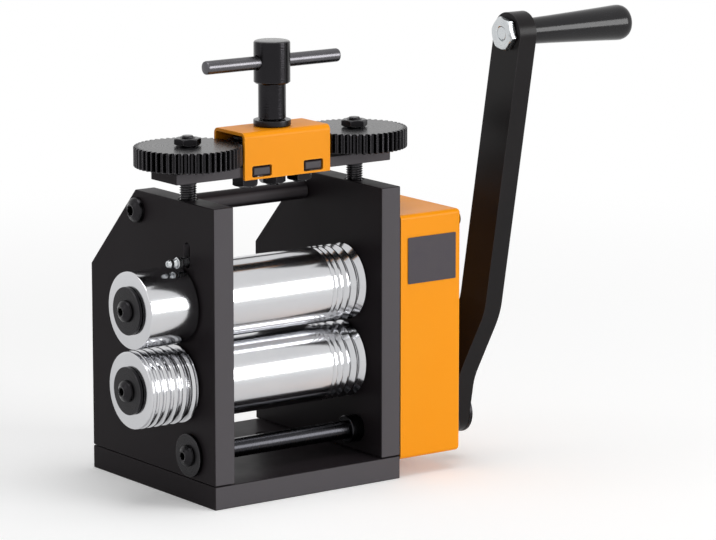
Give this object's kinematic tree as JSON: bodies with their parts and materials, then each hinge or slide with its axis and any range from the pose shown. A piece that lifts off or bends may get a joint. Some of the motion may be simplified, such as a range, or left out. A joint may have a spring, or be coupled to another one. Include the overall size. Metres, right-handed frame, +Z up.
{
  "type": "jewellers rolling mill",
  "caption": "Bench rolling mill with flat and square-wire rolls, side rings, geared roll adjustment by a T-handle, enclosed drive gears and a hand crank.",
  "frame": {"origin": "centre of the base plate's underside, on the surface that the mill stands on", "axes": "+Z up, +X along the rolls towards the gearbox and crank, -Y towards the operator"},
  "size_m": [0.2349, 0.1186, 0.2005],
  "materials": {
    "black_paint": "semi-gloss black paint on steel",
    "orange_paint": "semi-gloss orange paint on sheet steel",
    "polished_steel": "hardened steel, mirror polished",
    "machined_steel": "turned and milled bare steel",
    "black_oxide": "black oxide steel with a slight sheen",
    "bronze": "turned bearing bronze",
    "zinc": "bright zinc plated steel",
    "black_plastic": "glossy black plastic"
  },
  "bodies": {
    "frame": {"base_plate": "black_paint", "side_plate_left": "black_paint", "side_plate_right": "black_paint", "base_screw_1": "black_oxide", "base_screw_2": "black_oxide", "base_screw_3": "black_oxide", "base_screw_4": "black_oxide", "upper_tie_rod": "black_paint", "tie_rod_screw_left": "black_oxide", "tie_rod_screw_right": "black_oxide", "lower_roll_bush_left": "bronze", "lower_roll_bush_right": "bronze", "gearbox_cover": "orange_paint", "gearbox_cover_screw_1": "black_oxide", "gearbox_cover_screw_2": "black_oxide", "gearbox_cover_screw_3": "black_oxide", "gearbox_cover_screw_4": "black_oxide", "lift_spring_left": "machined_steel", "lift_spring_right": "machined_steel"},
    "crank": {"crank_shaft": "machined_steel", "crank_pinion": "machined_steel", "crank_shaft_screw": "black_oxide", "crank_arm_screw": "black_oxide", "crank_arm": "black_paint", "grip_bolt": "zinc", "grip_nut": "zinc"},
    "grip": {"crank_grip": "black_plastic"},
    "lower_roll": {"lower_roll": "polished_steel", "lower_grooved_ring": "polished_steel", "lower_drive_gear": "machined_steel", "lower_roll_gear": "machined_steel", "lower_ring_screw": "black_oxide", "lower_gear_screw": "black_oxide"},
    "upper_roll": {"upper_roll": "polished_steel", "upper_plain_ring": "polished_steel", "upper_roll_gear": "machined_steel", "upper_ring_screw": "black_oxide", "upper_gear_screw": "black_oxide"},
    "head": {"bearing_block_left": "black_oxide", "bearing_block_right": "black_oxide", "oil_nipple": "zinc", "bridge_bar": "black_paint", "gear_bracket": "orange_paint", "handle_bush": "black_oxide", "idler_axle_left": "black_oxide", "idler_axle_right": "black_oxide", "idler_nut_left": "black_oxide", "idler_nut_right": "black_oxide"},
    "t_handle": {"t_handle_spindle": "black_oxide", "t_handle_cross_bar": "black_oxide", "t_handle_pinion": "black_oxide", "t_handle_nut": "black_oxide"},
    "idler_left": {"idler_gear_left": "black_oxide"},
    "idler_right": {"idler_gear_right": "black_oxide"},
    "screw_left": {"adjusting_screw_left": "black_oxide", "adjusting_gear_left": "black_oxide", "adjusting_nut_left": "black_oxide"},
    "screw_right": {"adjusting_screw_right": "black_oxide", "adjusting_gear_right": "black_oxide", "adjusting_nut_right": "black_oxide"}
  },
  "joints": [
    {"name": "crank_turn", "type": "hinge", "parent": "frame", "child": "crank", "pos_m": [0, -0.0295, 0.02058], "axis": [1, 0, 0], "continuous": true},
    {"name": "grip_spin", "type": "hinge", "parent": "crank", "child": "grip", "pos_m": [0.12, -0.0621, 0.1915], "axis": [1, 0, 0], "continuous": true},
    {"name": "lower_roll_turn", "type": "hinge", "parent": "frame", "child": "lower_roll", "pos_m": [0, -0.021, 0.05], "axis": [1, 0, 0], "continuous": true},
    {"name": "head_lift", "type": "slide", "parent": "frame", "child": "head", "axis": [0, 0, 1], "range_m": [-0.0007, 0.006], "deforming": ["lift_spring_left", "lift_spring_right"]},
    {"name": "upper_roll_turn", "type": "hinge", "parent": "head", "child": "upper_roll", "pos_m": [0, -0.021, 0.084], "axis": [1, 0, 0], "continuous": true},
    {"name": "handle_turn", "type": "hinge", "parent": "head", "child": "t_handle", "pos_m": [0, -0.021, 0.17], "axis": [0, 0, 1], "range_deg": [-630.01, 5400.01]},
    {"name": "idler_left_turn", "type": "hinge", "parent": "head", "child": "idler_left", "pos_m": [-0.014, -0.021, 0.147], "axis": [0, 0, 1], "range_deg": [-5400.01, 630.01]},
    {"name": "idler_right_turn", "type": "hinge", "parent": "head", "child": "idler_right", "pos_m": [0.014, -0.021, 0.147], "axis": [0, 0, 1], "range_deg": [-5400.01, 630.01]},
    {"name": "screw_left_turn", "type": "hinge", "parent": "head", "child": "screw_left", "pos_m": [-0.04288, -0.021, 0.147], "axis": [0, 0, 1], "range_deg": [-201.61, 1728.01]},
    {"name": "screw_right_turn", "type": "hinge", "parent": "head", "child": "screw_right", "pos_m": [0.04288, -0.021, 0.147], "axis": [0, 0, 1], "range_deg": [-201.61, 1728.01]}
  ],
  "couplings": [
    {"joint": "lower_roll_turn", "follows": "crank_turn", "ratio": -0.4},
    {"joint": "upper_roll_turn", "follows": "crank_turn", "ratio": 0.4},
    {"joint": "handle_turn", "follows": "head_lift", "rad_per_m": 15708},
    {"joint": "idler_left_turn", "follows": "head_lift", "rad_per_m": -15708},
    {"joint": "idler_right_turn", "follows": "head_lift", "rad_per_m": -15708},
    {"joint": "screw_left_turn", "follows": "head_lift", "rad_per_m": 5026.5},
    {"joint": "screw_right_turn", "follows": "head_lift", "rad_per_m": 5026.5}
  ]
}
